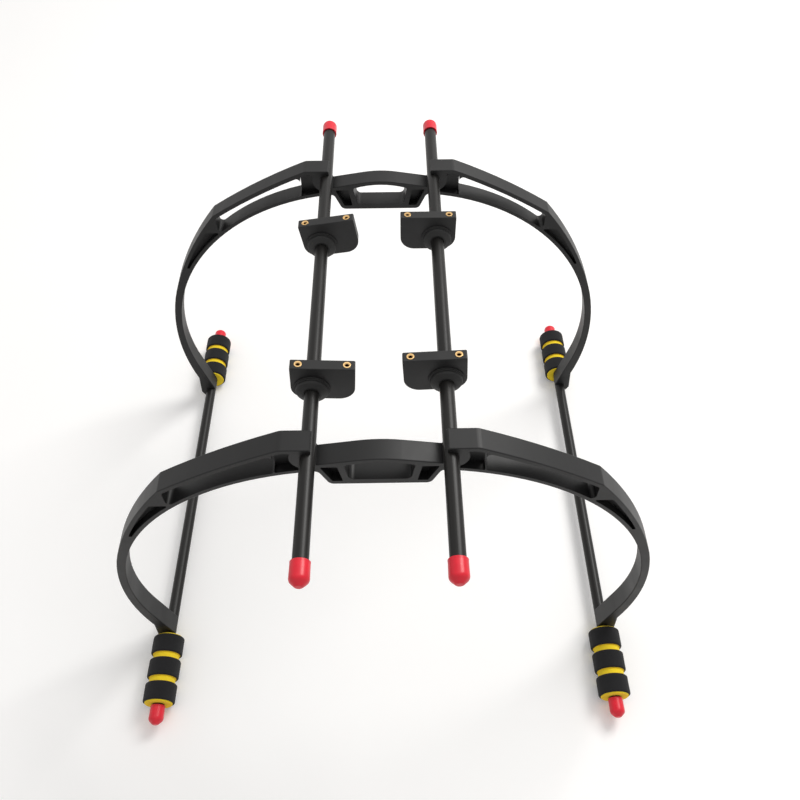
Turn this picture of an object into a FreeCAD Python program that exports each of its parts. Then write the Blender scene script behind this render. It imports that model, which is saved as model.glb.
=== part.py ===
import FreeCAD, Part
import math
import os

# A tall landing gear for a multirotor drone. X runs across, Y from front to back and Z up.
# The origin is on the ground, at the middle of the footprint. Lengths are in millimetres,
# angles in degrees. Heights inside an arch are counted from the rail axis.

# The four straight tubes
tube_diameter = 10.0
tube_wall = 1.0
tube_length = 442.0
rail_spacing = 90.0
skid_spacing = 390.0
rail_above_skid = 280.0
rail_shift = -4.0
skid_shift = 4.0

# Fits
snug_clearance = 0.02
running_clearance = 0.05
clip_clearance = 0.04

# The two arches
arch_thickness = 16.0
arch_edge_round = 0.8
web_thickness = 2.4
flange_thickness = 3.5

# The bridge between the rails, with its hand slot
bridge_crown_height = -1.5
bridge_crown_radius = 85.0
bridge_crown_half_width = 14.0
bridge_bottom_height = -30.0
bridge_bottom_half_width = 33.2
bridge_end_slope = 66.0
bridge_bottom_round = 5.0
bridge_root_round = 4.0
slot_crown_height = -4.9
slot_corner_height = -8.6
slot_floor_height = -24.5
slot_top_half_width = 22.9
slot_side_lean = 2.9
slot_top_round = 1.6
slot_floor_round = 4.0
bridge_rib = 4.2
bridge_pocket_inset = 3.8
bridge_pocket_round = 0.8

# The clip that holds a rail
hook_top_height = 9.0
hook_tip_angle = 117.0
hook_tip_reach = 2.7
hook_tip_chamfer = 1.2
hook_flat_reach = 17.5
hook_shoulder_round = 8.0
jaw_end_angle = 226.0
jaw_end_reach = 4.8
clip_wall_radius = 11.8

# The chord, the knee and the leg
chord_rise = 2.3
knee_inset = 47.0
knee_height = -36.5
knee_round = 5.0
thigh_rise = 5.4
shoulder_reach = 7.3
shoulder_above_skid = 144.5
shin_rise = 8.6
arch_under_rail = 15.4
calf_reach = 9.6
calf_above_skid = 86.0
heel_reach = 3.6
heel_above_skid = 40.0
window_inboard_reach = 22.3
window_outboard_inset = 2.5
window_round = 3.0
clip_pocket_reach = 6.0
leg_pocket_top_height = -55.0
leg_pocket_bottom_height = -97.0
leg_pocket_round = 1.0

# The foot that clips over a skid tube
foot_side_reach = 10.5
foot_top_reach = 8.8
foot_top_above_skid = 22.5
foot_root_round = 3.0
foot_below_skid = 6.0
foot_chamfer_height = 5.0
foot_chamfer_width = 2.5
foot_jaw_angle = -45.0
foot_jaw_width = 3.0
foot_tip_angle = 150.0
foot_tip_radius = 6.9
foot_tip_turn = 6.5

# The mount plates
plate_width = 43.0
plate_height = 30.8
plate_thickness = 8.0
plate_outboard_reach = 14.3
plate_top_above_rail = 20.0
plate_lower_round = 11.0
plate_upper_round = 1.0
plate_edge_round = 0.5

# How far each plate stands from its arch's middle, and how far it has swung about its rail
plate_places = {
    "front_left": (52.5, 3.0),
    "front_right": (59.1, -3.0),
    "rear_left": (84.9, -8.5),
    "rear_right": (78.5, 0.0),
}

# The rubber bushes
bush_neck_radius = 8.2
bush_flange_radius = 12.3
bush_flange_thickness = 0.9
bush_rim_radius = 11.0
bush_rim_reach = 3.2
bush_rim_round = 1.8
bush_nose_radius = 6.6
bush_nose_reach = 5.4
bush_back_radius = 11.4
bush_back_thickness = 1.6

# The brass inserts
insert_spacing = 32.0
insert_inboard_offset = 7.2
insert_diameter = 5.2
insert_length = 6.0
insert_proud = 0.3
insert_bore_radius = 1.25
insert_mouth_radius = 1.75
insert_mouth_depth = 0.6
screw_room_depth = 10.0
screw_room_radius = 1.6

# The foam grips
grip_diameter = 27.0
grip_core_diameter = 23.6
grip_length = 59.0
grip_ring_count = 3
grip_groove = 5.0
grip_core_end = 1.0
grip_edge_round = 1.4
grip_core_round = 0.6
front_grip_gap = 2.3
rear_grip_gap = 0.3
front_cap_gap = 1.2
rear_cap_gap = 0.2

# The slip-on end caps
cap_wall = 1.1
cap_bulge = 0.15
cap_cover = 11.5
cap_tip_reach = 4.0
cap_tip_radius = 2.2
cap_shoulder_round = 1.6
cap_tip_round = 1.4
cap_mouth_round = 0.4

# Worked out
tube_radius = tube_diameter / 2
rail_x = rail_spacing / 2
skid_x = skid_spacing / 2
skid_height = grip_diameter / 2
rail_height = skid_height + rail_above_skid
skid_drop = -rail_above_skid
slot_floor_half_width = slot_top_half_width - slot_side_lean
front_grip_start = skid_shift - tube_length / 2 + cap_cover + front_cap_gap
front_arch_middle = front_grip_start + grip_length + front_grip_gap + arch_thickness / 2
rear_grip_start = skid_shift + tube_length / 2 - cap_cover - rear_cap_gap - grip_length
rear_arch_middle = rear_grip_start - rear_grip_gap - arch_thickness / 2
across = FreeCAD.Vector(1, 0, 0)
back = FreeCAD.Vector(0, 1, 0)
up = FreeCAD.Vector(0, 0, 1)
origin = FreeCAD.Vector(0, 0, 0)


def flat(x, z):
    """A point of the arch's drawing, which lies in the plane Y = 0."""
    return FreeCAD.Vector(x, 0, z)


def polar(centre, radius, angle):
    """A point of the drawing at a radius and an angle from a centre."""
    turn = math.radians(angle)
    return centre + flat(radius * math.cos(turn), radius * math.sin(turn))


def straight(start, end):
    return Part.LineSegment(start, end).toShape()


def bowed(start, end, rise):
    """An arc from start to end that stands out by rise, to the left of the way it goes."""
    along = end - start
    left = flat(-along.z, along.x)
    left.normalize()
    return Part.Arc(start, (start + end) / 2 + left * rise, end).toShape()


def softened(edges, rounds):
    """The wire of an outline, with an arc put in at each (corner, radius) of rounds."""
    soft = list(edges)
    drawing = Part.Plane(origin, back)
    for corner, radius in rounds:
        meet = [
            index for index, edge in enumerate(soft)
            if any(vertex.Point.distanceToPoint(corner) < 0.001 for vertex in edge.Vertexes)
        ]
        rounding = Part.ChFi2d.FilletAPI(soft[meet[0]], soft[meet[1]], drawing)
        rounding.perform(radius)
        arc, soft[meet[0]], soft[meet[1]] = rounding.result(corner)
        soft.append(arc)
    return Part.Wire(Part.__sortEdges__(soft))


def rounded_face(corners):
    """A face with straight sides, from corners given as (point, corner radius)."""
    edges = []
    ends = []
    for index, (corner, radius) in enumerate(corners):
        before = corners[index - 1][0] - corner
        after = corners[(index + 1) % len(corners)][0] - corner
        before.normalize()
        after.normalize()
        if radius == 0:
            ends.append((corner, corner))
            continue
        half = before.getAngle(after) / 2
        setback = radius / math.tan(half)
        bisector = before + after
        bisector.normalize()
        middle = corner + bisector * (radius / math.sin(half) - radius)
        entry = corner + before * setback
        leave = corner + after * setback
        edges.append(Part.Arc(entry, middle, leave).toShape())
        ends.append((entry, leave))
    for index, (entry, leave) in enumerate(ends):
        edges.append(straight(leave, ends[(index + 1) % len(ends)][0]))
    return Part.Face(Part.Wire(Part.__sortEdges__(edges)))


def turned(corners):
    """A solid of revolution about Y, from (radius, place along Y, corner radius) corners."""
    profile = rounded_face([(FreeCAD.Vector(r, y, 0), rounding) for r, y, rounding in corners])
    return profile.revolve(origin, back, 360)


def slab(face, thickness):
    """A drawing made solid, with its middle plane at Y = 0."""
    solid = face.extrude(back * thickness)
    solid.translate(back * (-thickness / 2))
    return solid


def disc(centre, radius, thickness):
    """A round slab about a point of the drawing, with its middle plane at Y = 0."""
    return Part.makeCylinder(radius, thickness, centre - back * (thickness / 2), back)


def block(low_x, low_z, high_x, high_z, thickness):
    """A square-cornered slab with its middle plane at Y = 0."""
    size = (high_x - low_x, thickness, high_z - low_z)
    return Part.makeBox(*size, FreeCAD.Vector(low_x, -thickness / 2, low_z))


def edges_along_back(solid):
    """Every straight edge of a slab that runs from its front face to its back face."""
    chosen = []
    for edge in solid.Edges:
        first = edge.Vertexes[0].Point
        last = edge.Vertexes[-1].Point
        if abs(first.y - last.y) > 1 and abs(first.x - last.x) < 0.001 and abs(first.z - last.z) < 0.001:
            chosen.append(edge)
    return chosen


def mirrored(shape):
    return shape.mirror(origin, across)


# The clip seats and the circles that the arch's curves belong to
rail_axis = flat(rail_x, 0)
skid_axis = flat(skid_x, skid_drop)
seat_radius = tube_radius + clip_clearance
hook_flat_end = flat(rail_x + hook_flat_reach, hook_top_height)
knee = flat(skid_x - knee_inset, knee_height)
shoulder = flat(skid_x + shoulder_reach, skid_drop + shoulder_above_skid)
foot_top = flat(skid_x + foot_top_reach, skid_drop + foot_top_above_skid)
heel = flat(skid_x + heel_reach, skid_drop + heel_above_skid)
chord = bowed(hook_flat_end, knee, chord_rise)
thigh = bowed(knee, shoulder, thigh_rise)
under_rail = flat(rail_x, -arch_under_rail)
calf = flat(skid_x + calf_reach, skid_drop + calf_above_skid)
inner_curve = Part.Arc(heel, calf, under_rail).toShape()
inner_centre = inner_curve.Curve.Center
inner_radius = inner_curve.Curve.Radius


def crown_height(x):
    """The height of the bridge's top: a crown that runs out into straight slopes."""
    edge = bridge_crown_half_width
    if x <= edge:
        return bridge_crown_height - bridge_crown_radius + math.sqrt(bridge_crown_radius**2 - x**2)
    slope = edge / math.sqrt(bridge_crown_radius**2 - edge**2)
    return crown_height(edge) - slope * (x - edge)


def bridge_root():
    """Where the bridge's end slope meets the straight run that leads on from the inner curve."""
    fall = (under_rail.x - inner_centre.x) / (under_rail.z - inner_centre.z)
    rise = math.tan(math.radians(bridge_end_slope))
    climb = under_rail.z - bridge_bottom_height + fall * under_rail.x + rise * bridge_bottom_half_width
    x = climb / (rise + fall)
    return flat(x, bridge_bottom_height + rise * (x - bridge_bottom_half_width))


def arch_half_outline():
    """The right half of an arch, with its two clips still filled."""
    crown_middle = flat(0, bridge_crown_height)
    crown_edge = flat(bridge_crown_half_width, crown_height(bridge_crown_half_width))
    crown_via_x = bridge_crown_half_width / 2
    jaw_root_x = rail_x - jaw_end_reach
    jaw_root = flat(jaw_root_x, crown_height(jaw_root_x))
    jaw_end = polar(rail_axis, seat_radius, jaw_end_angle)
    hook_inner = polar(rail_axis, seat_radius, hook_tip_angle)
    hook_tip = flat(rail_x - hook_tip_reach, hook_top_height - hook_tip_chamfer)
    hook_top = flat(hook_tip.x + hook_tip_chamfer, hook_top_height)
    foot_side = flat(skid_x + foot_side_reach, skid_drop - foot_below_skid + foot_chamfer_height)
    foot_bottom = flat(foot_side.x - foot_chamfer_width, skid_drop - foot_below_skid)
    foot_jaw = flat(foot_bottom.x - foot_jaw_width, foot_bottom.z)
    foot_jaw_end = polar(skid_axis, seat_radius, foot_jaw_angle)
    foot_tip_inner = polar(skid_axis, seat_radius, foot_tip_angle)
    foot_tip = polar(skid_axis, foot_tip_radius, foot_tip_angle - foot_tip_turn)
    root = bridge_root()
    bottom_corner = flat(bridge_bottom_half_width, bridge_bottom_height)
    edges = [
        Part.Arc(crown_middle, flat(crown_via_x, crown_height(crown_via_x)), crown_edge).toShape(),
        straight(crown_edge, jaw_root),
        straight(jaw_root, jaw_end),
        straight(jaw_end, hook_inner),
        straight(hook_inner, hook_tip),
        straight(hook_tip, hook_top),
        straight(hook_top, hook_flat_end),
        chord,
        thigh,
        bowed(shoulder, foot_top, shin_rise),
        straight(foot_top, foot_side),
        straight(foot_side, foot_bottom),
        straight(foot_bottom, foot_jaw),
        straight(foot_jaw, foot_jaw_end),
        straight(foot_jaw_end, foot_tip_inner),
        straight(foot_tip_inner, foot_tip),
        straight(foot_tip, heel),
        inner_curve,
        straight(under_rail, root),
        straight(root, bottom_corner),
        straight(bottom_corner, flat(0, bridge_bottom_height)),
        straight(flat(0, bridge_bottom_height), crown_middle),
    ]
    rounds = [
        (hook_flat_end, hook_shoulder_round),
        (knee, knee_round),
        (foot_top, foot_root_round),
        (root, bridge_root_round),
        (bottom_corner, bridge_bottom_round),
    ]
    return Part.Face(softened(edges, rounds))


def window(low_x, high_x, thickness):
    """The room between the chord's flange and the lower flange, from low_x to high_x."""
    below_chord = disc(chord.Curve.Center, chord.Curve.Radius - flange_thickness, thickness)
    above_curve = disc(inner_centre, inner_radius + flange_thickness, thickness)
    band = block(low_x, knee_height * 2, high_x, hook_top_height - flange_thickness, thickness)
    return band.common(below_chord).cut(above_curve)


def leg_pocket(thickness):
    """The room between the flanges of the leg, below the knee."""
    inside_thigh = disc(thigh.Curve.Center, thigh.Curve.Radius - flange_thickness, thickness)
    outside_curve = disc(inner_centre, inner_radius + flange_thickness, thickness)
    band = block(rail_x, leg_pocket_bottom_height, shoulder.x, leg_pocket_top_height, thickness)
    pocket = band.common(inside_thigh).cut(outside_curve)
    return pocket.makeFillet(leg_pocket_round, edges_along_back(pocket))


def bridge_pocket(thickness):
    """The four-sided room between the hand slot and the bridge's sloping end."""
    top_x = slot_top_half_width + bridge_rib
    bottom_x = slot_floor_half_width + bridge_rib
    top = crown_height(top_x) - bridge_pocket_inset - slot_side_lean / 2
    bottom = bridge_bottom_height + bridge_pocket_inset
    rise = math.tan(math.radians(bridge_end_slope))
    end_bottom_x = bridge_bottom_half_width - bridge_pocket_inset + bridge_pocket_inset / rise
    end_top_x = end_bottom_x + (top - bottom) / rise
    corners = [flat(top_x, top), flat(end_top_x, top), flat(end_bottom_x, bottom), flat(bottom_x, bottom)]
    return slab(rounded_face([(corner, bridge_pocket_round) for corner in corners]), thickness)


def hand_slot(thickness):
    """The crowned slot through the middle of the bridge."""
    left = flat(-slot_top_half_width, slot_corner_height)
    right = flat(slot_top_half_width, slot_corner_height)
    floor_right = flat(slot_floor_half_width, slot_floor_height)
    floor_left = flat(-slot_floor_half_width, slot_floor_height)
    edges = [
        Part.Arc(left, flat(0, slot_crown_height), right).toShape(),
        straight(right, floor_right),
        straight(floor_right, floor_left),
        straight(floor_left, left),
    ]
    slot = slab(Part.Face(Part.Wire(edges)), thickness)
    for height, radius in ((slot_corner_height, slot_top_round), (slot_floor_height, slot_floor_round)):
        level = [edge for edge in edges_along_back(slot) if abs(edge.CenterOfMass.z - height) < 0.001]
        slot = slot.makeFillet(radius, level)
    return slot


def arch(middle):
    """One moulded arch: two legs, the bridge between the rails, and four open clips."""
    half = slab(arch_half_outline(), arch_thickness)
    through = arch_thickness * 2
    clip_wall = disc(rail_axis, clip_wall_radius, through)
    window_start = rail_x + window_inboard_reach
    clip_room = window(rail_x + clip_pocket_reach, window_start, through).cut(clip_wall)
    clip_room = clip_room.makeFillet(bridge_pocket_round, edges_along_back(clip_room))
    recesses = clip_room.fuse([leg_pocket(through), bridge_pocket(through)])
    web = Part.makeBox(skid_spacing, web_thickness, -skid_drop)
    web.translate(FreeCAD.Vector(0, -web_thickness / 2, skid_drop))
    half = half.cut(recesses.cut(web))
    opening = window(window_start, knee.x - window_outboard_inset, through)
    half = half.cut(opening.makeFillet(window_round, edges_along_back(opening)))
    whole = half.fuse(mirrored(half)).removeSplitter()
    whole = whole.cut(hand_slot(through))
    whole = whole.makeFillet(arch_edge_round, outer_rim(whole))
    for axis in (rail_axis, skid_axis):
        seat = disc(axis, seat_radius, through)
        whole = whole.cut(seat).cut(mirrored(seat))
    whole.translate(back * middle + up * rail_height)
    return whole


def outer_rim(solid):
    """The edges of the outline on the front and back faces, apart from those at a clip's mouth."""
    chosen = []
    for face in solid.Faces:
        if abs(abs(face.normalAt(0, 0).y) - 1) > 0.001 or face.BoundBox.XLength < skid_spacing:
            continue
        for edge in face.OuterWire.Edges:
            centre = edge.CenterOfMass
            reach = flat(abs(centre.x), centre.z)
            near_rail = reach.distanceToPoint(rail_axis) < hook_top_height * 0.9
            near_skid = reach.distanceToPoint(skid_axis) < foot_side_reach * 0.9
            if not near_rail and not near_skid:
                chosen.append(edge)
    return chosen


def tube(x, height, shift):
    """A straight tube along Y."""
    solid = Part.makeCylinder(tube_radius, tube_length, origin, back)
    solid = solid.cut(Part.makeCylinder(tube_radius - tube_wall, tube_length, origin, back))
    solid.translate(FreeCAD.Vector(x, shift - tube_length / 2, height))
    return solid


def mount_plate():
    """A right-hand plate about its rail, upright, with its holes."""
    outboard = plate_outboard_reach
    inboard = outboard - plate_width
    top = plate_top_above_rail
    bottom = top - plate_height
    face = rounded_face([
        (flat(outboard, top), plate_upper_round),
        (flat(outboard, bottom), plate_lower_round),
        (flat(inboard, bottom), plate_lower_round),
        (flat(inboard, top), plate_upper_round),
    ])
    plate = slab(face, plate_thickness)
    rims = [edge for edge in plate.Edges if edge.BoundBox.YLength < 0.001]
    plate = plate.makeFillet(plate_edge_round, rims)
    plate = plate.cut(disc(origin, bush_neck_radius + running_clearance, plate_thickness * 2))
    for place in insert_places():
        mouth = flat(place, top - insert_length)
        plate = plate.cut(Part.makeCylinder(insert_diameter / 2, insert_length * 2, mouth, up))
        floor = flat(place, top - screw_room_depth)
        plate = plate.cut(Part.makeCylinder(screw_room_radius, screw_room_depth, floor, up))
    return plate


def insert_places():
    """Where the two inserts stand, counted outboard from the rail axis."""
    return [side * insert_spacing / 2 - insert_inboard_offset for side in (1, -1)]


def brass_inserts():
    """The pair of threaded inserts in the top of a right-hand plate."""
    top = insert_proud
    bottom = -insert_length
    outer = insert_diameter / 2
    profile = rounded_face([
        (flat(insert_bore_radius, bottom), 0),
        (flat(outer, bottom), 0),
        (flat(outer, top), insert_proud / 2),
        (flat(insert_mouth_radius, top), 0),
        (flat(insert_bore_radius, top - insert_mouth_depth), 0),
    ])
    insert = profile.revolve(origin, up, 360)
    pair = []
    for place in insert_places():
        one = insert.copy()
        one.translate(flat(place, plate_top_above_rail))
        pair.append(one)
    return Part.makeCompound(pair)


def rubber_bush():
    """A bush about Y, with a rim and a short nose in front and a flange behind."""
    bore = tube_radius + running_clearance
    front = -plate_thickness / 2 - running_clearance
    rear = plate_thickness / 2 + running_clearance
    flange = front - bush_flange_thickness
    return turned([
        (bore, front - bush_nose_reach, 0.3),
        (bush_nose_radius, front - bush_nose_reach, 0.6),
        (bush_rim_radius, front - bush_rim_reach, bush_rim_round),
        (bush_rim_radius, flange, 0.4),
        (bush_flange_radius, flange, 0.3),
        (bush_flange_radius, front, 0.2),
        (bush_neck_radius, front, 0),
        (bush_neck_radius, rear, 0),
        (bush_back_radius, rear, 0.2),
        (bush_back_radius, rear + bush_back_thickness, 0.8),
        (bore, rear + bush_back_thickness, 0.3),
    ])


def grip_core():
    """The inner foam sleeve, from Y = 0 backwards."""
    bore = tube_radius + snug_clearance
    outer = grip_core_diameter / 2
    return turned([
        (bore, 0, 0),
        (outer, 0, grip_core_round),
        (outer, grip_length, grip_core_round),
        (bore, grip_length, 0),
    ])


def grip_rings():
    """The outer foam sleeve, which grooves part into rings, from Y = 0 backwards."""
    bore = grip_core_diameter / 2 + snug_clearance
    outer = grip_diameter / 2
    covered = grip_length - 2 * grip_core_end
    width = (covered - (grip_ring_count - 1) * grip_groove) / grip_ring_count
    rings = []
    for number in range(grip_ring_count):
        start = grip_core_end + number * (width + grip_groove)
        rings.append(turned([
            (bore, start, 0),
            (outer, start, grip_edge_round),
            (outer, start + width, grip_edge_round),
            (bore, start + width, 0),
        ]))
    return Part.makeCompound(rings)


def end_cap():
    """A soft cap with its mouth at Y = 0 and its closed end backwards."""
    bore = tube_radius + snug_clearance
    mouth = bore + cap_wall
    depth = cap_cover + snug_clearance
    return turned([
        (bore, 0, 0),
        (mouth, 0, cap_mouth_round),
        (mouth + cap_bulge, depth, cap_shoulder_round),
        (cap_tip_radius, cap_cover + cap_tip_reach, cap_tip_round),
        (0, cap_cover + cap_tip_reach, 0),
        (0, depth, 0),
        (bore, depth, 0),
    ])


def faced(solid, end):
    """The solid as it is for the rear end, or turned round to face the front."""
    if end == "rear":
        return solid.copy()
    return solid.mirror(origin, back)


def place_caps(nodes, kind, side, x, height, shift):
    """Both caps of one tube."""
    for end, way in (("front", -1), ("rear", 1)):
        cap = faced(end_cap(), end)
        mouth = shift + way * (tube_length / 2 - cap_cover)
        cap.translate(FreeCAD.Vector(x, mouth, height))
        nodes[f"{kind}_cap_{end}_{side}"] = cap


def place_grips(nodes, side, x):
    """The front and the rear grip of one skid tube, each beside its arch's foot."""
    for end, start in (("front", front_grip_start), ("rear", rear_grip_start)):
        for name, solid in (("grip_core", grip_core()), ("grip_rings", grip_rings())):
            solid.translate(FreeCAD.Vector(x, start, skid_height))
            nodes[f"{name}_{end}_{side}"] = solid


def place_plate(nodes, corner):
    """One plate with its bush and inserts, swung about its rail."""
    distance, swing = plate_places[corner]
    middle = front_arch_middle + distance if corner.startswith("front") else rear_arch_middle - distance
    left = corner.endswith("left")
    place = FreeCAD.Vector(-rail_x if left else rail_x, middle, rail_height)
    parts = {"mount_plate": mount_plate(), "brass_inserts": brass_inserts(), "rubber_bush": rubber_bush()}
    for name, solid in parts.items():
        if left:
            solid = mirrored(solid)
        solid.rotate(origin, back, swing)
        solid.translate(place)
        nodes[f"{name}_{corner}"] = solid


def build():
    """Every node by name."""
    nodes = {"front_arch": arch(front_arch_middle), "rear_arch": arch(rear_arch_middle)}
    for side, way in (("left", -1), ("right", 1)):
        nodes[f"rail_{side}"] = tube(way * rail_x, rail_height, rail_shift)
        nodes[f"skid_tube_{side}"] = tube(way * skid_x, skid_height, skid_shift)
        place_caps(nodes, "rail", side, way * rail_x, rail_height, rail_shift)
        place_caps(nodes, "skid", side, way * skid_x, skid_height, skid_shift)
        place_grips(nodes, side, way * skid_x)
    for corner in plate_places:
        place_plate(nodes, corner)
    return nodes


os.makedirs("parts", exist_ok=True)
for name, shape in build().items():
    shape.exportStep(f"parts/{name}.step")
    box = shape.BoundBox
    print(f"{name}: {len(shape.Solids)} solid(s), valid {shape.isValid()}, {shape.Volume / 1000:.2f} cm3, "
          f"X {box.XMin:.1f} {box.XMax:.1f} Y {box.YMin:.1f} {box.YMax:.1f} Z {box.ZMin:.1f} {box.ZMax:.1f}")
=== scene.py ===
import math
import random

import bmesh
import bpy
from mathutils import Matrix, Vector


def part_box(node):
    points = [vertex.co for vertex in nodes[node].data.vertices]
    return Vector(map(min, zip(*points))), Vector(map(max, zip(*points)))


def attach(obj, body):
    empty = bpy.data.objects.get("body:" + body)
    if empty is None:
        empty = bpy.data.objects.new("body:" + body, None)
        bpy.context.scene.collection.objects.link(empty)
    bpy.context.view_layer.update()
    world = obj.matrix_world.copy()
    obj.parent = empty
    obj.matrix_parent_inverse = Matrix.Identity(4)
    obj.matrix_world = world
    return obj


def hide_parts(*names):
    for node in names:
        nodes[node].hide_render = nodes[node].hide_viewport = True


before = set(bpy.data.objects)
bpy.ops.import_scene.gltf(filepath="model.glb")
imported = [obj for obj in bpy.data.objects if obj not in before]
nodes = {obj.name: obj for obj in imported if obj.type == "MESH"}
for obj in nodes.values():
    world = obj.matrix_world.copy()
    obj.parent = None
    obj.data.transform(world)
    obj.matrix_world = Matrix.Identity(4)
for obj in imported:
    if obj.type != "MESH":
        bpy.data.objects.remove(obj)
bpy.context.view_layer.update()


# Rails and skid tubes
# Four plain carbon tubes, drawn straight and ground to size, with a satin skin that keeps a
# fine grain along its length. The arches' clips and the rubber bushes hold them by grip alone.
tube_colour = (0.0085, 0.0080, 0.0074)
tube_tones = (0.6, 1.6)
tube_roughness = 0.36
tube_roughness_spread = 0.16
tube_reflection = 0.25
tube_grain_width = 0.0007
tube_grain_length = 0.05
tube_grain_depth = 0.000012
tube_patch_width = 0.012
tube_patch_length = 0.09


class Shade:
    """A socket of one material, so that its maths is written as plain expressions."""

    def __init__(self, tree, socket=None):
        self.tree = tree
        self.socket = socket

    def add(self, kind, settings=None, inputs=None, output=0):
        """Another node of the same material, as the Shade of one of its outputs."""
        node = self.tree.nodes.new("ShaderNode" + kind)
        for name, value in (settings or {}).items():
            if name == "stops":
                set_stops(node.color_ramp, value)
            else:
                setattr(node, name, value)
        for name, value in (inputs or {}).items():
            if isinstance(value, Shade):
                self.tree.links.new(value.socket, node.inputs[name])
            else:
                node.inputs[name].default_value = value
        return Shade(self.tree, node.outputs[output])

    def maths(self, operation, first, second):
        if self.socket.type == "VECTOR":
            return self.add("VectorMath", {"operation": operation}, {0: first, 1: second})
        return self.add("Math", {"operation": operation}, {0: first, 1: second})

    def __add__(self, other):
        return self.maths("ADD", self, other)

    __radd__ = __add__

    def __sub__(self, other):
        return self.maths("SUBTRACT", self, other)

    def __rsub__(self, other):
        return self.maths("SUBTRACT", other, self)

    def __mul__(self, other):
        return self.maths("MULTIPLY", self, other)

    __rmul__ = __mul__

    def mix(self, first, second):
        """The colour that goes from first to second as this value goes from 0 to 1."""
        colours = {"Factor": self, "A": with_alpha(first), "B": with_alpha(second)}
        return self.add("Mix", {"data_type": "RGBA"}, colours, "Result")


def set_stops(ramp, stops):
    """Fills a colour ramp from (position, grey level) pairs."""
    while len(ramp.elements) < len(stops):
        ramp.elements.new(1)
    for element, (position, level) in zip(ramp.elements, stops):
        element.position = position
        element.color = (level, level, level, 1)


def with_alpha(colour):
    return colour if isinstance(colour, Shade) else (*colour, 1)


def tones(colour, dark, light):
    """A darker and a lighter tone of a colour, as shares of it."""
    return [tuple(min(1, channel * share) for channel in colour) for share in (dark, light)]


def new_material(name):
    """A material with its surface shader, and the Shade that the rest is built from."""
    material = bpy.data.materials.new(name)
    material.use_nodes = True
    tree = material.node_tree
    tree.nodes.clear()
    surface = tree.nodes.new("ShaderNodeBsdfPrincipled")
    output = tree.nodes.new("ShaderNodeOutputMaterial")
    tree.links.new(surface.outputs[0], output.inputs["Surface"])
    return material, surface, Shade(tree)


def finish_surface(surface, shade, **values):
    """Sets the shader's sockets, named with underscores, to numbers, colours or Shades."""
    for name, value in values.items():
        socket = surface.inputs[name.replace("_", " ")]
        if isinstance(value, Shade):
            shade.tree.links.new(value.socket, socket)
        elif socket.type == "RGBA":
            socket.default_value = with_alpha(value)
        else:
            socket.default_value = value


def dress(name, material):
    """Gives a carried-over solid its finish."""
    mesh = nodes[name].data
    mesh.materials.clear()
    mesh.materials.append(material)


def stretched(shade, width, length):
    """Places for a grain that is width across and length along Y."""
    place = shade.add("TexCoord", output="Object")
    return place * (1 / width, 1 / length, 1 / width)


def carbon_tube():
    """Satin carbon: a fine grain and slow patches, both drawn out along the tube."""
    material, surface, shade = new_material("carbon_tube")
    grain = shade.add("TexNoise", inputs={
        "Vector": stretched(shade, tube_grain_width, tube_grain_length), "Scale": 1, "Detail": 3,
    })
    patches = shade.add("TexNoise", inputs={
        "Vector": stretched(shade, tube_patch_width, tube_patch_length), "Scale": 1, "Detail": 2,
    })
    tone = grain * 0.5 + patches * 0.5
    bump = shade.add("Bump", inputs={"Strength": 1, "Distance": tube_grain_depth, "Height": grain})
    finish_surface(
        surface, shade, Base_Color=tone.mix(*tones(tube_colour, *tube_tones)),
        Roughness=tube_roughness + tube_roughness_spread * (tone - 0.5), Normal=bump,
        Specular_IOR_Level=tube_reflection,
    )
    return material


carbon = carbon_tube()
for side in ("left", "right"):
    dress(f"rail_{side}", carbon)
    dress(f"skid_tube_{side}", carbon)


# Foam grips
# Each skid tube carries two firm foam sleeves, pushed on over the end: a yellow inner layer and
# a black outer layer bonded to it. Two grooves are cut through the black down to the yellow.
black_foam_colour = (0.011, 0.011, 0.012)
yellow_foam_colour = (0.93, 0.67, 0.025)
# The fleck shares spread each foam's tone partly at random and partly darker in the cell pits,
# which is painted shade.
black_foam_fleck_and_pit_shade = 0.35
yellow_foam_fleck_and_pit_shade = 0.10
foam_cell = 0.0009
foam_cells_per_grain = 0.4
foam_patches_per_metre = 90
foam_pit_depth = 0.00016
foam_roughness = 0.86
foam_roughness_spread = 0.1
foam_reflection = 0.22
foam_sheen = 0.06
foam_sheen_roughness = 0.6
foam_unevenness = 0.00010
foam_waves = 7
foam_wave_lobes = (2, 9)
foam_wave_pitch = (60, 420)
foam_wave_phase = (0, 6.28)
foam_bore_limit = 0.006
rings_seed = 10
grip_rings = 3
groove = 0.005
groove_extra_depth = 0.0007
grip_edge_round = 0.0014
grip_core_round = 0.0007
grip_bore_round = 0.0004
sleeve_clearance = 0.00002
crease_angle = 38
round_steps = 6
core_segments = 96
core_cut = 0.002
rings_segments = 128
rings_cut = 0.001


def rounded_profile(corners, steps):
    """Points of a closed outline from (radius, place, corner radius), each corner as an arc."""
    points = []
    for index, (radius, place, rounding) in enumerate(corners):
        corner = Vector((radius, place))
        before = Vector(corners[index - 1][:2]) - corner
        after = Vector(corners[(index + 1) % len(corners)][:2]) - corner
        if rounding == 0:
            points.append(corner)
            continue
        before.normalize()
        after.normalize()
        half = before.angle(after) / 2
        middle = corner + (before + after).normalized() * (rounding / math.sin(half))
        first = corner + before * (rounding / math.tan(half)) - middle
        last = corner + after * (rounding / math.tan(half)) - middle
        turn = first.angle_signed(last)
        for step in range(steps + 1):
            spoke = first.copy()
            spoke.rotate(Matrix.Rotation(-turn * step / steps, 2))
            points.append(middle + spoke)
    return points


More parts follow.
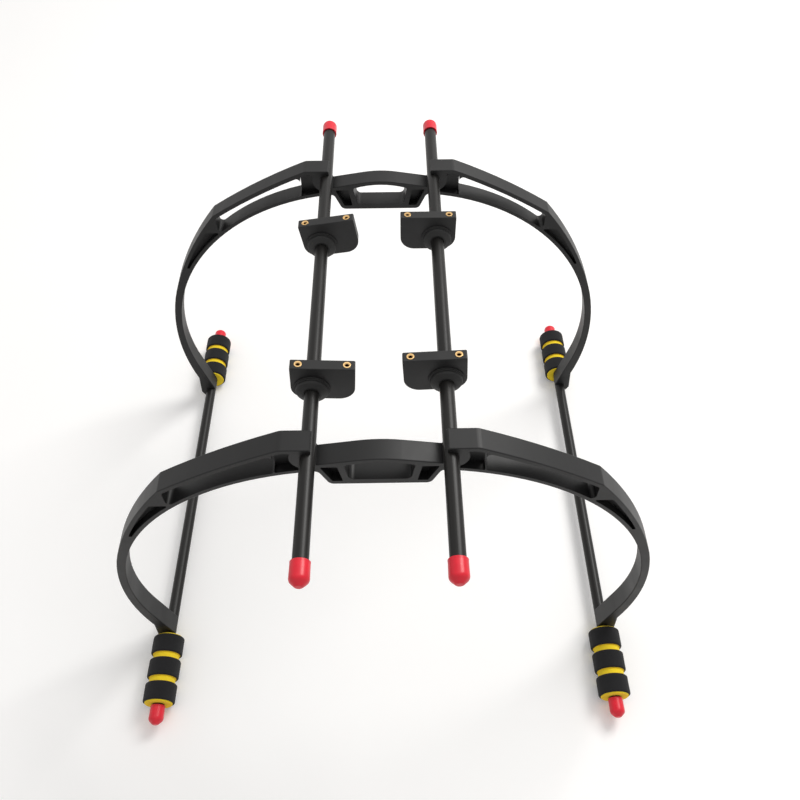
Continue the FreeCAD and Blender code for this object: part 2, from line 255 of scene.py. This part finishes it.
def turned_mesh(name, profiles, segments, centre, ring_cut):
    """A mesh turned about a line along Y through centre, from closed (radius, place) outlines."""
    on_axis = 1e-7
    mesh = bpy.data.meshes.new(name)
    build = bmesh.new()
    for profile in profiles:
        outline = split_long(profile, ring_cut)
        rings = []
        for point in outline:
            along = centre.y + point.y
            if point.x < on_axis:
                rings.append([build.verts.new((centre.x, along, centre.z))])
                continue
            ring = []
            for number in range(segments):
                turn = 2 * math.pi * number / segments
                side = point.x * math.cos(turn)
                rise = point.x * math.sin(turn)
                ring.append(build.verts.new((centre.x + side, along, centre.z + rise)))
            rings.append(ring)
        for index, ring in enumerate(rings):
            join_rings(build, rings[index - 1], ring)
    bmesh.ops.recalc_face_normals(build, faces=build.faces)
    build.to_mesh(mesh)
    build.free()
    mesh.shade_smooth()
    mesh.set_sharp_from_angle(angle=math.radians(crease_angle))
    return mesh


def split_long(profile, longest):
    """The outline with its long straight stretches cut into even steps."""
    points = []
    for index, point in enumerate(profile):
        start = profile[index - 1]
        reach = (point - start).length
        parts = max(1, math.ceil(reach / longest))
        points += [start.lerp(point, part / parts) for part in range(1, parts + 1)]
    return points


def join_rings(build, first, second):
    """Faces between two neighbouring rings of points, either of which may be one point."""
    count = max(len(first), len(second))
    if count == 1:
        return
    for number in range(count):
        corners = [
            first[number % len(first)],
            first[(number + 1) % len(first)],
            second[(number + 1) % len(second)],
            second[number % len(second)],
        ]
        unique = list(dict.fromkeys(corners))
        if len(unique) > 2:
            build.faces.new(unique)


def new_piece(name, mesh, material, body, slot, *replaced):
    """Puts a modelled piece in the scene, on its body, in place of its solids."""
    piece = bpy.data.objects.new(name, mesh)
    mesh.materials.append(material)
    bpy.context.scene.collection.objects.link(piece)
    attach(piece, body)
    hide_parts(*replaced)
    return piece


def foam(name, colour, fleck_and_pit_shade):
    """Closed-cell foam: dull, with fine open cells, painted shade in their pits and a slow change
    of tone.
    """
    material, surface, shade = new_material(name)
    place = shade.add("TexCoord", output="Object")
    cells = shade.add("TexVoronoi", inputs={"Vector": place, "Scale": 1 / foam_cell})
    grain = shade.add("TexNoise", inputs={
        "Vector": place, "Scale": foam_cells_per_grain / foam_cell, "Detail": 4,
    })
    tone = shade.add("TexNoise", inputs={
        "Vector": place, "Scale": foam_patches_per_metre, "Detail": 2,
    })
    pits_with_painted_shade = shade.add("ValToRGB", {"stops": [(0.0, 0.0), (0.45, 1.0)]}, {"Fac": cells})
    bump = shade.add("Bump", inputs={
        "Strength": 1, "Distance": foam_pit_depth, "Height": pits_with_painted_shade * 0.6 + grain * 0.8,
    })
    # The colour is darker in the bottoms of the cell pits: painted shade, laid over the foam's own
    # slow tone.
    finish_surface(
        surface, shade,
        Base_Color=(tone * 0.6 + pits_with_painted_shade * 0.3).mix(*tones(colour, 1 - fleck_and_pit_shade, 1 + fleck_and_pit_shade)),
        Roughness=foam_roughness + foam_roughness_spread * grain, Normal=bump,
        Specular_IOR_Level=foam_reflection, Sheen_Weight=foam_sheen,
        Sheen_Roughness=foam_sheen_roughness,
    )
    return material


def ruffle(mesh, centre, seed):
    """Pushes a foam skin's points in by small soft amounts, as cut foam is never quite round."""
    rng = random.Random(seed)
    waves = [
        (
            rng.randint(*foam_wave_lobes), rng.uniform(*foam_wave_pitch),
            rng.uniform(*foam_wave_phase), rng.uniform(*foam_wave_phase),
        )
        for _ in range(foam_waves)
    ]
    for vertex in mesh.vertices:
        spoke = Vector((vertex.co.x - centre.x, 0, vertex.co.z - centre.z))
        if spoke.length < foam_bore_limit:
            continue
        turn = math.atan2(spoke.z, spoke.x)
        push = sum(
            math.sin(lobes * turn + first) * math.sin(pitch * vertex.co.y + second)
            for lobes, pitch, first, second in waves
        )
        depth = foam_unevenness * (0.5 + 0.5 * math.tanh(push))
        vertex.co -= spoke.normalized() * depth


black_foam = foam("black_foam", black_foam_colour, black_foam_fleck_and_pit_shade)
yellow_foam = foam("yellow_foam", yellow_foam_colour, yellow_foam_fleck_and_pit_shade)
corners = ("front_left", "front_right", "rear_left", "rear_right")
for number, corner in enumerate(corners):
    core_name = f"grip_core_{corner}"
    rings_name = f"grip_rings_{corner}"
    low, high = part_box(core_name)
    ring_low, ring_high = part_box(rings_name)
    tube_low, tube_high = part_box("skid_tube_" + corner.split("_")[1])
    centre = Vector(((low.x + high.x) / 2, low.y, (low.z + high.z) / 2))
    bore = (tube_high.x - tube_low.x) / 2 + sleeve_clearance
    core_radius = (high.x - low.x) / 2
    groove_radius = core_radius - groove_extra_depth
    outer_radius = (ring_high.x - ring_low.x) / 2
    length = high.y - low.y
    covered = ring_high.y - ring_low.y
    ring_width = (covered - (grip_rings - 1) * groove) / grip_rings
    ring_starts = [
        ring_low.y - low.y + ring * (ring_width + groove) for ring in range(grip_rings)
    ]
    core_corners = [
        (core_radius, 0, grip_core_round), (bore, 0, 0), (bore, length, grip_bore_round),
        (core_radius, length, grip_core_round),
    ]
    for start in reversed(ring_starts[1:]):
        core_corners += [
            (core_radius, start, 0), (groove_radius, start, 0),
            (groove_radius, start - groove, 0), (core_radius, start - groove, 0),
        ]
    core_outline = rounded_profile(core_corners, round_steps)
    core = turned_mesh(f"foam_core_{corner}", [core_outline], core_segments, centre, core_cut)
    ruffle(core, centre, number)
    ring_outlines = [
        rounded_profile([
            (core_radius, start, 0), (core_radius, start + ring_width, 0),
            (outer_radius, start + ring_width, grip_edge_round),
            (outer_radius, start, grip_edge_round),
        ], round_steps)
        for start in ring_starts
    ]
    rings = turned_mesh(f"foam_rings_{corner}", ring_outlines, rings_segments, centre, rings_cut)
    ruffle(rings, centre, number + rings_seed)
    piece = new_piece(core.name, core, yellow_foam, "root", "yellow_foam", core_name)
    piece = new_piece(rings.name, rings, black_foam, "root", "black_foam", rings_name)


# The two arches
# One glass-filled nylon moulding each: legs, bridge, clips and feet in a single shot. The tool's
# fine spark-eroded skin gives a satin black that is a little brighter where hands have rubbed it.
nylon_colour = (0.0078, 0.0078, 0.0080)
nylon_tones = (0.8, 1.7)
nylon_roughness = 0.47
nylon_reflection = 0.3
nylon_grain = 0.00045
nylon_grain_depth = 0.000018
nylon_flow = 0.03
nylon_flow_stretch = (1, 0.35, 1)
nylon_flow_swirl = 0.8
nylon_rub_stops = [(0.42, 0.0), (0.75, 1.0)]


def moulded_nylon(name, colour, roughness):
    """Satin nylon: a fine skin, slow flow marks and patches that are rubbed smoother."""
    material, surface, shade = new_material(name)
    place = shade.add("TexCoord", output="Object")
    grain = shade.add("TexNoise", inputs={"Vector": place, "Scale": 1 / nylon_grain, "Detail": 2})
    flow = shade.add("TexNoise", inputs={
        "Vector": place * nylon_flow_stretch, "Scale": 1 / nylon_flow, "Detail": 5,
        "Distortion": nylon_flow_swirl,
    })
    rub = shade.add("ValToRGB", {"stops": nylon_rub_stops}, {"Fac": flow})
    bump = shade.add("Bump", inputs={
        "Strength": 1, "Distance": nylon_grain_depth, "Height": grain + 2.5 * flow,
    })
    finish_surface(
        surface, shade, Base_Color=(flow * 0.7 + rub * 0.3).mix(*tones(colour, *nylon_tones)),
        Roughness=roughness - 0.08 * rub + 0.06 * (grain - 0.5), Normal=bump,
        Specular_IOR_Level=nylon_reflection,
    )
    return material


arch_nylon = moulded_nylon("arch_nylon", nylon_colour, nylon_roughness)
dress("front_arch", arch_nylon)
dress("rear_arch", arch_nylon)


# End caps
# Eight soft red vinyl caps, dipped and slipped over the tube ends. The dip leaves a wet gloss, a
# rolled mouth and a blunt cone that is fullest at its shoulder.
vinyl_red = (0.78, 0.012, 0.032)
vinyl_tones = (0.82, 1.12)
vinyl_roughness = 0.26
vinyl_roughness_spread = 0.08
vinyl_reflection = 0.4
vinyl_waves_per_metre = 160
vinyl_specks_per_metre = 900
vinyl_wave_depth = 0.00012
cap_clearance = 0.00002
cap_wall = 0.0011
cap_bulge = 0.00012
cap_bore_round = 0.0003
cap_mouth_bead = 0.00025
cap_mouth_round = 0.0004
cap_bead_length = 0.0016
cap_bead_fillet = 0.0012
cap_shoulder_past_tube = 0.0004
cap_shoulder_round = 0.0036
cap_tip_radius = 0.0024
cap_tip_round = 0.0018
cap_segments = 72
cap_cut = 0.002


def dipped_vinyl():
    """Glossy soft vinyl, with the slow waves that a dip leaves."""
    material, surface, shade = new_material("dipped_vinyl")
    place = shade.add("TexCoord", output="Object")
    wave = shade.add("TexNoise", inputs={
        "Vector": place, "Scale": vinyl_waves_per_metre, "Detail": 2,
    })
    speck = shade.add("TexNoise", inputs={
        "Vector": place, "Scale": vinyl_specks_per_metre, "Detail": 3,
    })
    bump = shade.add("Bump", inputs={"Strength": 1, "Distance": vinyl_wave_depth, "Height": wave})
    finish_surface(
        surface, shade, Base_Color=wave.mix(*tones(vinyl_red, *vinyl_tones)),
        Roughness=vinyl_roughness + vinyl_roughness_spread * speck, Normal=bump,
        Specular_IOR_Level=vinyl_reflection,
    )
    return material


def cap_outline(bore, cover, tip_reach, way):
    """Half the section of a cap, from its mouth at 0 to its tip, along Y in the given way."""
    mouth = bore + cap_wall
    tip = cover + tip_reach
    outline = rounded_profile([
        (bore, 0, cap_bore_round), (mouth + cap_mouth_bead / 2, 0, cap_mouth_round),
        (mouth, cap_bead_length, cap_bead_fillet),
        (mouth + cap_bulge, cover + cap_shoulder_past_tube, cap_shoulder_round),
        (cap_tip_radius, tip, cap_tip_round), (0, tip, 0), (0, cover, 0), (bore, cover, 0),
    ], round_steps)
    return [Vector((point.x, point.y * way)) for point in outline]


vinyl = dipped_vinyl()
for kind, tube_kind in (("rail", "rail"), ("skid", "skid_tube")):
    for end, way in (("front", -1), ("rear", 1)):
        for side in ("left", "right"):
            node = f"{kind}_cap_{end}_{side}"
            low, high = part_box(node)
            tube_low, tube_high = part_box(f"{tube_kind}_{side}")
            tube_radius = (tube_high.x - tube_low.x) / 2
            tube_end = tube_low.y if end == "front" else tube_high.y
            mouth = high.y if end == "front" else low.y
            tip = low.y if end == "front" else high.y
            axis = Vector(((low.x + high.x) / 2, mouth, (low.z + high.z) / 2))
            outline = cap_outline(
                tube_radius + cap_clearance, abs(tube_end - mouth), abs(tip - tube_end), way,
            )
            cap = turned_mesh(
                f"vinyl_cap_{kind}_{end}_{side}", [outline], cap_segments, axis, cap_cut,
            )
            new_piece(cap.name, cap, vinyl, "root", "red_vinyl", node)


# Mount plates
# Four moulded plates that hang on the rails and bolt up to the drone's frame. They are the same
# black nylon as the arches, in a slightly duller skin.
# The plates' colour is the arches' black nylon painted lighter: painted light that brightens their
# front faces.
plate_colour_with_painted_light = (0.0115, 0.0115, 0.0118)
plate_roughness = 0.48

plate_nylon_with_painted_light = moulded_nylon("plate_nylon_with_painted_light", plate_colour_with_painted_light, plate_roughness)
for corner in corners:
    dress(f"mount_plate_{corner}", plate_nylon_with_painted_light)


# Rubber bushes
# A soft black rubber bush is pressed through each plate. Its rounded nose narrows to the rail,
# which it grips tightly enough to stay where it is pushed.
rubber_colour = (0.006, 0.006, 0.006)
rubber_tones = (1, 2.2)
rubber_roughness = 0.5
rubber_roughness_spread = 0.2
rubber_reflection = 0.4
rubber_blooms_per_metre = 140
rubber_grains_per_metre = 2600
rubber_grain_depth = 0.00003


def soft_rubber():
    """Dull rubber with a faint pale bloom."""
    material, surface, shade = new_material("soft_rubber")
    place = shade.add("TexCoord", output="Object")
    bloom = shade.add("TexNoise", inputs={
        "Vector": place, "Scale": rubber_blooms_per_metre, "Detail": 4,
    })
    grain = shade.add("TexNoise", inputs={
        "Vector": place, "Scale": rubber_grains_per_metre, "Detail": 2,
    })
    bump = shade.add("Bump", inputs={
        "Strength": 1, "Distance": rubber_grain_depth, "Height": grain,
    })
    finish_surface(
        surface, shade, Base_Color=bloom.mix(*tones(rubber_colour, *rubber_tones)),
        Roughness=rubber_roughness + rubber_roughness_spread * bloom, Normal=bump,
        Specular_IOR_Level=rubber_reflection,
    )
    return material


rubber = soft_rubber()
for corner in corners:
    dress(f"rubber_bush_{corner}", rubber)


# Brass inserts
# Two turned brass inserts are melted into the top of each plate, with a knurl that holds them and
# an M3 thread for the screw that comes down through the drone's frame.
brass_colour = (0.80, 0.53, 0.24)
brass_tones = (0.75, 1)
brass_roughness = 0.2
brass_roughness_spread = 0.15
brass_marks_per_metre = 1800
brass_stains_per_metre = 300
brass_mark_depth = 0.00001


def turned_brass():
    """Bright brass with fine tool marks and a light stain."""
    material, surface, shade = new_material("turned_brass")
    place = shade.add("TexCoord", output="Object")
    marks = shade.add("TexNoise", inputs={
        "Vector": place, "Scale": brass_marks_per_metre, "Detail": 3,
    })
    stain = shade.add("TexNoise", inputs={
        "Vector": place, "Scale": brass_stains_per_metre, "Detail": 3,
    })
    bump = shade.add("Bump", inputs={
        "Strength": 1, "Distance": brass_mark_depth, "Height": marks,
    })
    finish_surface(
        surface, shade, Base_Color=stain.mix(*tones(brass_colour, *brass_tones)), Metallic=1.0,
        Roughness=brass_roughness + brass_roughness_spread * stain, Normal=bump,
    )
    return material


brass = turned_brass()
for corner in corners:
    dress(f"brass_inserts_{corner}", brass)


# The table and the light
# A wide white table in a white room. A large soft light stands overhead, and a brighter one to
# the right and behind lays pale shadows to the left.
floor_half = 4.0
floor_white = (0.93, 0.925, 0.92)
floor_other_white = (0.95, 0.945, 0.94)
floor_patches_per_metre = 9
floor_roughness = 0.9
floor_reflection = 0.1
floor_lift = 0.13
light_aim = Vector((0, 0, 0.1))
top_place = Vector((0.3, 0.5, 2.4))
top_size = 2.2
top_strength = 9.0
top_colour = (1, 0.995, 0.985)
side_place = Vector((1.2, 1.1, 2.0))
side_size = 1.1
side_strength = 36.0
side_colour = (1, 0.99, 0.97)
room_colour = (1, 0.99, 0.98)
room_share = 0.5


def white_table():
    """White card that shows a little whiter to the camera than its light makes it."""
    material, surface, shade = new_material("white_table")
    camera_rays = shade.add("LightPath", output="Is Camera Ray")
    glossy_rays = shade.add("LightPath", output="Is Glossy Ray")
    place = shade.add("TexCoord", output="Object")
    mottle = shade.add("TexNoise", inputs={
        "Vector": place, "Scale": floor_patches_per_metre, "Detail": 2,
    })
    finish_surface(
        surface, shade, Base_Color=mottle.mix(floor_white, floor_other_white),
        Roughness=floor_roughness, Specular_IOR_Level=floor_reflection,
        Emission_Color=(camera_rays + glossy_rays).mix((0, 0, 0), (1, 1, 1)),
        Emission_Strength=floor_lift,
    )
    return material


def soft_light(name, place, size, strength, colour):
    """A square light that faces the gear."""
    lamp = bpy.data.lights.new(name, "AREA")
    lamp.shape = "SQUARE"
    lamp.size = size
    lamp.energy = strength
    lamp.color = colour
    holder = bpy.data.objects.new(name, lamp)
    facing = (light_aim - place).to_track_quat("-Z", "Y").to_matrix().to_4x4()
    holder.matrix_world = Matrix.Translation(place) @ facing
    bpy.context.scene.collection.objects.link(holder)


floor_mesh = bpy.data.meshes.new("table_top")
floor_corners = [(-floor_half, -floor_half, 0), (floor_half, -floor_half, 0)]
floor_corners += [(floor_half, floor_half, 0), (-floor_half, floor_half, 0)]
floor_mesh.from_pydata(floor_corners, [], [(0, 1, 2, 3)])
floor_mesh.materials.append(white_table())
floor = bpy.data.objects.new("table_top", floor_mesh)
bpy.context.scene.collection.objects.link(floor)

soft_light("top_light", top_place, top_size, top_strength, top_colour)
soft_light("side_light", side_place, side_size, side_strength, side_colour)

world = bpy.data.worlds.new("white_room")
world.use_nodes = True
world.node_tree.nodes.clear()
room = Shade(world.node_tree)
seen = room.add("LightPath", output="Is Camera Ray")
mirrored = room.add("LightPath", output="Is Glossy Ray")
through_glass = room.add("LightPath", output="Is Transmission Ray")
background = room.add("Background", inputs={
    "Color": with_alpha(room_colour),
    "Strength": room_share + (seen + mirrored + through_glass) * (1 - room_share),
})
room_output = world.node_tree.nodes.new("ShaderNodeOutputWorld")
world.node_tree.links.new(background.socket, room_output.inputs["Surface"])
bpy.context.scene.world = world
bpy.context.scene.view_settings.view_transform = "Standard"


# The view
# The gear is seen from in front and well above, nearly square on, as it stands on the table. The
# camera is about 0.7 m away and looks 52 degrees down.
focal_length = 35.78
sensor_width = 36.0
nearest_seen = 0.01
eye = Vector((0.0101, -0.4205, 0.7067))
look_down = math.radians(51.97)
look_right = math.radians(0.61)
roll = math.radians(-0.30)

forward = Vector((
    math.sin(look_right) * math.cos(look_down),
    math.cos(look_right) * math.cos(look_down),
    -math.sin(look_down),
))
level_right = Vector((math.cos(look_right), -math.sin(look_right), 0))
level_up = level_right.cross(forward)
right = math.cos(roll) * level_right + math.sin(roll) * level_up
above = right.cross(forward)
lens = bpy.data.cameras.new("view")
lens.lens = focal_length
lens.sensor_width = sensor_width
lens.clip_start = nearest_seen
view = bpy.data.objects.new("view", lens)
facing = Matrix((right, above, -forward)).transposed().to_4x4()
view.matrix_world = Matrix.Translation(eye) @ facing
bpy.context.scene.collection.objects.link(view)
bpy.context.scene.camera = view
